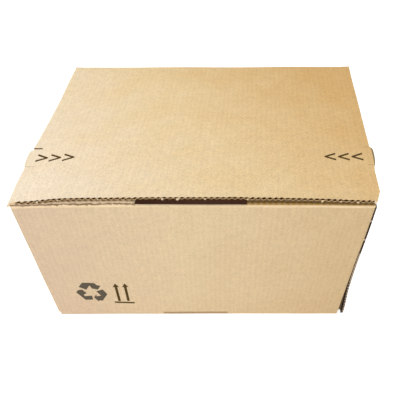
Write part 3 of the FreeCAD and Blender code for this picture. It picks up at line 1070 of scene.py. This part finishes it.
# How the kraft varies, painted light falloff included: per millimetre across and back, then as shares and
# as heights in millimetres
# PALER_LEFT and PALER_IN_FRONT paint light falloff: the lid gets paler towards the left and the front
PALER_LEFT = -0.0020
PALER_IN_FRONT = -0.0012
MIDDLE_SHADE = 0.455
PATCHES = 0.4
MOTTLING = 0.2
GRAIN = 0.5
LID_UNEVENNESS = 0.25
FLUTE_SHADE = 0.016
FLECKS_FROM = 0.71
FLECK_STRENGTH = 0.30
# How much rubbing and painted highlight the folds get
RUBBING_AND_HIGHLIGHT = 0.75
FLUTE_RELIEF = 0.035
GRAIN_RELIEF = 0.10
MOTTLE_RELIEF = 0.12
SHEEN = 0.12
INK_SHEEN = 0.03

# Places of single marks, several of them painted light and shade, in millimetres: from and to
# The painted highlight along the front wall's rim
RIM_HIGHLIGHT_LEVELS = (FLAP_TOP - 3.8, FLAP_TOP - 0.4)
DARK_STRIP_LEVELS = (FLAP_TOP - 1.3, FLAP_TOP + 1.2)
DARK_STRIP_DEPTH = (FRONT + 0.2, FRONT + 22)
CREASE_LEVELS = (FLAP_TOP - 1.6, FLAP_TOP + 0.6)
CREASE_DEPTH = (FRONT + 0.3, FRONT + 2.5)
# Where the painted shade in the seam's crevice lies
CREVICE_ACROSS = (SEAM - 1.1, SEAM + 0.15)
CREVICE_DEPTH = (FRONT + 0.5, FRONT + GLUE_TAB + 1)
# Where the painted shade along the foot's slot lies
FOOT_ACROSS = (-52.0, 40.0)
FOOT_LEVELS = (0.5, 7.5)
TORN_LEVELS = (78, 142)
UPPER_NICK = (194.3, 197.0)
LOWER_NICK = (161.2, 164.6)
STRIPES_BELOW = 80
SEAM_CUT = (FRONT - 1.0, FRONT + 0.6)


def bare_graph(owner):
    """The emptied node graph of a material or of the world."""
    owner.use_nodes = True
    owner.node_tree.nodes.clear()
    return Graph(owner.node_tree)


def new_finish(name):
    """An empty material, its graph and its place on the board in millimetres."""
    material = bpy.data.materials.new(name)
    graph = bare_graph(material)
    board = graph.node("ShaderNodeAttribute", {}, output=1, attribute_name="board")
    return material, graph, board


def speckle(board, size, detail=2.0, stretch=None):
    """A soft random field whose blotches are about size millimetres wide."""
    vector = board
    if stretch:
        vector = board.graph.node("ShaderNodeMapping", {"Vector": board, "Scale": stretch})
    values = {"Vector": vector, "Scale": 1 / size, "Detail": detail, "Roughness": 0.6}
    return board.graph.node("ShaderNodeTexNoise", values)


def surface(graph, colour, roughness, height, specular=SHEEN):
    """The closing shader, with height in millimetres."""
    relief = graph.node("ShaderNodeBump", {"Height": height * MM, "Distance": 1.0, "Strength": 1.0})
    values = {
        "Base Color": colour,
        "Roughness": roughness,
        "Specular IOR Level": specular,
        "Normal": relief,
    }
    shader = graph.node("ShaderNodeBsdfPrincipled", values)
    graph.node("ShaderNodeOutputMaterial", {"Surface": shader}, output=None)


def cut_surface(graph, colour, grain):
    """The closing shader of cut or torn paper, which has no sheen."""
    surface(graph, colour, 0.85 + (grain - 0.5) * 0.1, (grain - 0.5) * 0.2, 0.0)


def clamped(value):
    """A field kept between 0 and 1."""
    return value.math("MAXIMUM", 0.0).math("MINIMUM", 1.0)


def above(value, limit):
    """1 where value is greater than limit, else 0."""
    return value.math("GREATER_THAN", limit)


def between(value, span, soft=0.3):
    """1 where value lies in span, with soft ends."""
    low, high = span
    distance = (value - (low + high) / 2).math("ABSOLUTE")
    return clamped(((high - low) / 2 - distance) / soft)


def washboard(board):
    """The flutes that show faintly through the liner: -1 to 1, across the run of the flutes."""
    normal = board.graph.node("ShaderNodeNewGeometry", {}, output=1)
    on_side = above(split(normal)[0].math("ABSOLUTE"), 0.6)
    x, y = split(board)[:2]
    across = x * (1 - on_side) + y * on_side
    drift = speckle(board, 60, 1.0) * 2.5
    return (across * (2 * math.pi / FLUTE_PITCH) + drift).math("SINE")


def grey(graph, value):
    """One number as a grey colour."""
    return graph.node("ShaderNodeCombineColor", {0: value, 1: value, 2: value})


def clean_kraft(graph, board, mottle, grain, flutes):
    """The liner's colour before its marks: painted light falloff, paler at the left and in front, then
    mottled and flecked.
    """
    x, y, z = split(board)
    patches = (speckle(board, 45, 2.0) - 0.5) * PATCHES
    # Painted light falloff on the lid: paler at the left and in front
    painted_light_falloff = x * PALER_LEFT + y * PALER_IN_FRONT + MIDDLE_SHADE + patches
    lid_stops = [(0.0, DEEP_KRAFT), (0.5, KRAFT), (1.0, PALE_KRAFT)]
    lid_colour = graph.node("ShaderNodeValToRGB", {0: painted_light_falloff}, stops=lid_stops)
    # Painted light falloff across the walls: paler at the left, deeper at the right
    painted_wall_falloff = x / (RIGHT - LEFT) + 0.5 + patches
    wall_stops = [(0.0, WALL_LEFT), (0.45, WALL_KRAFT), (1.0, WALL_RIGHT)]
    wall_colour = graph.node("ShaderNodeValToRGB", {0: painted_wall_falloff}, stops=wall_stops)
    on_lid = above(z, HEIGHT - 1)
    colour = graph.mix(on_lid, wall_colour, lid_colour)
    unevenness = (mottle - 0.5) * MOTTLING + (grain - 0.5) * GRAIN
    shade = 1 + unevenness * (1 + on_lid * LID_UNEVENNESS) + flutes * FLUTE_SHADE
    colour = graph.mix(1.0, colour, grey(graph, shade), "MULTIPLY")
    flecks = above(speckle(board, 1.3, 1.0), FLECKS_FROM) * FLECK_STRENGTH
    return graph.mix(flecks, colour, FLECK)


def kraft():
    """The smooth outer liner: mottled, flecked, with faint flutes, folds paler from rubbing and a painted
    highlight, and single marks, among them painted highlight and painted shade.
    """
    material, graph, board = new_finish("kraft_face")
    mottle = speckle(board, 9, 3.0)
    grain = speckle(board, 2.0, 4.0, (1.0, 0.8, 1.0))
    flutes = washboard(board)
    # Rubbing and a painted highlight on the folds
    worn_and_highlit = graph.node("ShaderNodeAttribute", {}, output=2, attribute_name="wear_and_highlight")
    rubbed_and_highlit = worn_and_highlit * (speckle(board, 4, 3.0) * 1.4 - 0.2).math("MAXIMUM", 0.0) * RUBBING_AND_HIGHLIGHT
    marks = (
        (rubbed_and_highlit.math("MINIMUM", 1.0), WORN_AND_HIGHLIT_KRAFT),
        (rim_highlight(board), RIM_HIGHLIGHT),
        (dark_flap_strip(board, flutes), DARK_FLAP_STRIP),
        (crease_line(board), CREASE),
        (seam_crevice_shade(board), SEAM_SHADE),
        (foot_slot_shade(board), FOOT_SHADE),
    )
    colour = clean_kraft(graph, board, mottle, grain, flutes)
    for share, mark_colour in marks:
        colour = graph.mix(share, colour, mark_colour)
    height = flutes * FLUTE_RELIEF + (grain - 0.5) * GRAIN_RELIEF + (mottle - 0.5) * MOTTLE_RELIEF
    surface(graph, colour, 0.72 + (mottle - 0.5) * 0.2, height)
    return material


def rim_highlight(board):
    """A painted highlight along the top of the front wall, where the fold's crest catches the light."""
    y, z = split(board)[1:]
    in_front = above(FRONT + 1.2 - y, 0.0)
    return between(z, RIM_HIGHLIGHT_LEVELS, 1.0) * in_front * clamped(speckle(board, 12, 2.0) * 1.6 - 0.1)


def dark_flap_strip(board, flutes):
    """A dark olive-brown strip on the front flap's fold right of the slot, under the lid's edge, in the
    pattern of the flutes.
    """
    x, y, z = split(board)
    strip = above(x, SLOT_RIGHT) * between(z, DARK_STRIP_LEVELS) * between(y, DARK_STRIP_DEPTH, 0.6)
    return strip * (0.85 + flutes * 0.15)


def crease_line(board):
    """A dark broken line along the crease left of the slot, between the front wall and its raised flap."""
    x, y, z = split(board)
    wander = speckle(board, 5.0, 1.0) * 2.4 - 1.2
    line = between(y + wander, CREASE_DEPTH, 0.5) * between(z, CREASE_LEVELS)
    broken = clamped(speckle(board, 3.0, 2.0) * 5.0 - 1.2)
    return above(SLOT_LEFT - x, 0.0) * line * broken * 0.8


def foot_slot_shade(board):
    """Painted shade: the brownish line along the slot in the lowest fold of the front."""
    x, y, z = split(board)
    in_front = above(FRONT + 2.5 - y, 0.0)
    return between(x, FOOT_ACROSS, 2.0) * between(z, FOOT_LEVELS, 3.0) * in_front * 0.7


def seam_crevice_shade(board):
    """Painted shade in the crevice between the front wall's fold and the right wall's free edge."""
    x, y, z = split(board)
    below_top = above(TUBE_HIGH - z, 0.0)
    return between(x, CREVICE_ACROSS) * between(y, CREVICE_DEPTH) * below_top


def raw_board(name, edge, cut_colour=CUT_PAPER, shade_beside_slot=1.0):
    """Fluting and cut edges: pale at the cut, and dark with painted shade within half a millimetre behind
    it.
    """
    material, graph, board = new_finish(name)
    x, y = split(board)[:2]
    grain = speckle(board, 0.8, 4.0)
    # Painted shade that deepens behind the cut
    shade_behind_cut = clamped((y - edge - 0.4) / 0.7 + (grain - 0.5) * 0.6)
    over_slot = between(x, (SLOT_LEFT, SLOT_RIGHT), 1.0)
    shade_behind_cut = shade_behind_cut * (shade_beside_slot + (1 - shade_beside_slot) * over_slot)
    cut = graph.mix(speckle(board, 7, 2.0) * 0.4, cut_colour, KRAFT)
    cut_surface(graph, graph.mix(shade_behind_cut, cut, FLUTE_DEPTH_SHADE), grain)
    return material


def crushed():
    """The crushed board between the lid's liners: pale, but with painted shade in the slits, and dark on
    the torn tab.
    """
    material, graph, board = new_finish("crushed_edge")
    x, y = split(board)[:2]
    ragged = speckle(board, 2.5, 2.0) * 2 - 1
    rear = TEAR_LINE + TAB_HALF
    front = TEAR_LINE - TAB_HALF
    # Painted shade in the slits
    slits = between(y, (rear + 1.2, rear + 5.0)) + between(y, (front - FRONT_SLIT - 0.4, front + 0.4))
    torn = above(x + ragged - LID_EDGE - TORN_TAB_REACH + 0.6, 0.0)
    dark = clamped(slits + torn * between(y, (front, rear)) * 0.75)
    cut_surface(graph, graph.mix(dark, CUT_PAPER, SLIT_SHADE_AND_TORN_PAPER), speckle(board, 0.8, 4.0))
    return material


def seam_paper():
    """The right wall's free edge in painted shade: dark above with two pale nicks, torn pale below, and
    striped at the foot with painted shade between the flutes.
    """
    material, graph, board = new_finish("torn_and_shaded_seam_edge")
    x, y, z = split(board)
    ragged = speckle(board, 14, 2.0) * 24 - 12
    outer = above(x - RIGHT + BOARD * 0.6, 0.0)
    torn = between(z + ragged, TORN_LEVELS, 8.0) * outer * 0.85
    nicks = between(z, UPPER_NICK, 0.6) + between(z, LOWER_NICK, 0.6)
    rhythm = (z * (2 * math.pi / FLUTE_PITCH)).math("SINE") * 2.0 + 0.2
    stripes = clamped(rhythm) * above(STRIPES_BELOW - z, 0.0) * outer
    skin = above(x - RIGHT + 0.05, 0.0)
    whole_skin = skin * (1 - between(y, SEAM_CUT, 0.4))
    # Painted shade over the free edge, except on its skin, the torn part, the nicks and the pale stripes
    dark = (1 - whole_skin) * (1 - clamped(torn + nicks + stripes))
    paper = graph.mix(whole_skin, SEAM_STRIPE, WALL_RIGHT)
    colour = graph.mix(dark * 0.95, paper, SEAM_SHADE)
    cut_surface(graph, colour, speckle(board, 0.8, 4.0))
    return material


def ink(name, colour, gaps):
    """Water-based ink in paper: the fibres show through in specks, the fewer the nearer gaps is to 1."""
    material, graph, board = new_finish(name)
    grain = speckle(board, 1.1, 4.0)
    bare = (grain + speckle(board, 7, 2.0) * 0.4 - gaps).math("MAXIMUM", 0.0) * 4.0
    painted = graph.mix(bare.math("MINIMUM", 1.0), colour, WALL_LEFT)
    surface(graph, painted, 0.7 + (grain - 0.5) * 0.2, (grain - 0.5) * 0.08, INK_SHEEN)
    return material


def plain_film(name, colour, roughness):
    """Glue or tape with a soft uneven surface."""
    material, graph, board = new_finish(name)
    grain = speckle(board, 3.0, 3.0)
    dull = tuple(part * 0.75 for part in colour[:3]) + (1,)
    painted = graph.mix(grain, colour, dull)
    surface(graph, painted, roughness + (grain - 0.5) * 0.2, (grain - 0.5) * 0.1)
    return material


# Camera: its place in millimetres, its turns in degrees

CAMERA_PLACE = (28.44, -502.4, 591.1)
CAMERA_PITCH = 45.23
CAMERA_YAW = 1.024
CAMERA_ROLL = -1.018
CAMERA_SENSOR = 36.0
CAMERA_LENS = 42.889
CAMERA_SHIFT = -0.05
CAMERA_NEAREST = 0.01

# Light: places in metres, sizes and powers
LAMPS = (
    ("key", (-0.55, -0.20, 1.45), 0.6, 8.6, (1.0, 0.99, 0.97)),
    ("fill", (0.0, -1.5, 0.7), 1.0, 7.5, (1.0, 0.98, 0.97)),
)
WORLD_LIGHT = 0.52
GLIMMER_POWER = 0.035
GLIMMER_COLOUR = (1.0, 0.66, 0.78)
GLIMMER_SIZE = 0.03

# Floor: half its width and its drop in metres, and the rim of the box on it in millimetres
FLOOR_HALF = 3.0
FLOOR_DROP = 0.0006
FLOOR_RIM = 10.0
FLOOR_WHITE = (0.9, 0.9, 0.9, 1)
FLOOR_GLOW = 0.7
WHITE = (1, 1, 1, 1)


def camera():
    """The camera that took the photo, as fitted to the box's corners."""
    data = bpy.data.cameras.new("camera")
    data.sensor_width = CAMERA_SENSOR
    data.lens = CAMERA_LENS
    data.shift_x = CAMERA_SHIFT
    data.clip_start = CAMERA_NEAREST
    turn = Matrix.Rotation(math.radians(CAMERA_YAW), 4, "Z")
    turn = turn @ Matrix.Rotation(math.radians(90 - CAMERA_PITCH), 4, "X")
    turn = turn @ Matrix.Rotation(math.radians(CAMERA_ROLL), 4, "Z")
    made = add_object("camera", data)
    made.matrix_world = Matrix.Translation(Vector(CAMERA_PLACE) * MM) @ turn
    bpy.context.scene.camera = made


def softbox(name, place, size, power, colour):
    """A square lamp that faces the middle of the box."""
    data = bpy.data.lights.new(name, "AREA")
    data.size = size
    data.energy = power
    data.color = colour
    made = add_object(name, data)
    made.location = place
    aim = Vector((0, 0, HEIGHT / 2 * MM)) - Vector(place)
    made.rotation_euler = aim.to_track_quat("-Z", "Y").to_euler()


def glimmer():
    """A faint light inside the box, which the photo shows in the slot."""
    data = bpy.data.lights.new("glimmer_inside", "POINT")
    data.energy = GLIMMER_POWER
    data.color = GLIMMER_COLOUR
    data.shadow_soft_size = GLIMMER_SIZE
    add_object("glimmer_inside", data).location = (0, 0, HEIGHT / 2 * MM)


def seen_directly(graph):
    """1 for rays from the camera, off a gloss or through glass."""
    kinds = ("Is Camera Ray", "Is Glossy Ray", "Is Transmission Ray")
    camera_ray, gloss, glass = [graph.node("ShaderNodeLightPath", {}, output=kind) for kind in kinds]
    return clamped(camera_ray + gloss + glass)


def studio():
    """White surroundings that light the box softly, two lamps and the glimmer inside."""
    world = bpy.data.worlds.new("studio")
    bpy.context.scene.world = world
    graph = bare_graph(world)
    strength = seen_directly(graph) * (1 - WORLD_LIGHT) + WORLD_LIGHT
    light = graph.node("ShaderNodeBackground", {"Color": WHITE, "Strength": strength})
    graph.node("ShaderNodeOutputWorld", {"Surface": light}, output=None)
    for lamp in LAMPS:
        softbox(*lamp)
    glimmer()


def floor_finish():
    """White that glows as bright as its surroundings, and is clear from below."""
    material = bpy.data.materials.new("floor_white")
    graph = bare_graph(material)
    diffuse = graph.node("ShaderNodeBsdfDiffuse", {"Color": FLOOR_WHITE})
    strength = seen_directly(graph) * FLOOR_GLOW
    glow = graph.node("ShaderNodeEmission", {"Color": WHITE, "Strength": strength})
    both = graph.node("ShaderNodeAddShader", {0: diffuse, 1: glow})
    from_below = graph.node("ShaderNodeNewGeometry", {}, output="Backfacing")
    clear = graph.node("ShaderNodeBsdfTransparent", {})
    shader = graph.node("ShaderNodeMixShader", {0: from_below, 1: both, 2: clear})
    graph.node("ShaderNodeOutputMaterial", {"Surface": shader}, output=None)
    return material


def floor():
    """A white floor that keeps the shadow, with an opening under the box."""
    half = FLOOR_HALF
    across = (RIGHT - FLOOR_RIM * 2) * MM
    along = (BACK - FLOOR_RIM) * MM
    corners = [(-half, -half), (half, -half), (half, half), (-half, half)]
    corners += [(-across, -along), (across, -along), (across, along), (-across, along)]
    sides = [(0, 1, 5, 4), (1, 2, 6, 5), (2, 3, 7, 6), (3, 0, 4, 7)]
    mesh = bpy.data.meshes.new("floor")
    mesh.from_pydata([(x, y, -FLOOR_DROP) for x, y in corners], [], sides)
    mesh.materials.append(floor_finish())
    made = add_object("floor", mesh)


def build_tube(face, wall_raw, wave):
    """The walls, their folds, the seam and the flaps."""
    front_wall(face)
    back_wall(face)
    side_wall(-1, face)
    side_wall(1, face)
    corner_folds(face)
    glue_tab(face)
    seam_edge = seam_paper()
    right_edge(seam_edge)
    base_slot_edge(wall_raw)
    right_edge_fluting(wave, seam_edge)
    front_flap(face)
    for side in (-1, 1):
        dust_flap(side, face)
        base_side_flap(side, face)
        base_long_flap(side, face)


def build_lid(face, cut_edge, under, wave):
    """The lid's two liners with the fluting between them, and its shreds."""
    lid_liner("lid_upper_liner", HEIGHT, EDGE_RAGGED, LINER_SETBACK, TORN_TAB_REACH, face)
    lower = HEIGHT - BOARD + LINER
    lid_liner("lid_lower_liner", lower, EDGE_RAGGED * 1.5, 0.0, RIGHT_TAB_REACH, under)
    lid_margins(crushed())
    lid_fluting(wave, cut_edge)
    shreds(face)


def build_print():
    """The marks in their two inks."""
    grey_ink = ink("grey_ink", GREY_INK, 0.90)
    brown_ink = ink("brown_ink", BROWN_INK, 0.98)
    recycling_print(grey_ink)
    up_print(brown_ink)
    chevron_print(brown_ink)


def build_glue():
    """The tear tape and the glue, which follow the box's lean."""
    glue = plain_film("dried_glue", GLUE_COLOUR, 0.4)
    tape = plain_film("tape_film", TAPE_COLOUR, 0.25)
    dressed_copy("tear_tape", "tear_tape_film", tape, "tape_film", lid_shape)
    dressed_copy("closure_adhesive", "closure_glue", glue, "glue", lid_shape)
    dressed_copy("joint_glue", "seam_glue", glue, "glue", lean)
    dressed_copy("base_glue_left", "base_glue_pad_left", glue, "glue", lean)
    dressed_copy("base_glue_right", "base_glue_pad_right", glue, "glue", lean)


def build():
    """The whole box, piece by piece."""
    face = kraft()
    lid_raw = raw_board("lid_cut_edge", LID_FRONT, FLUTE_PAPER)
    wall_raw = raw_board("wall_cut_edge", FRONT)
    # The lid's underside is in painted shade nearly all over, a little weaker beside the slot
    under = raw_board("lid_underside", LID_FRONT - 2.5, FLUTE_PAPER, 0.78)
    wave = corrugation_tree()
    build_tube(face, wall_raw, wave)
    build_lid(face, lid_raw, under, wave)
    build_print()
    build_glue()


bpy.context.scene.view_settings.view_transform = "Standard"
build()
studio()
floor()
camera()
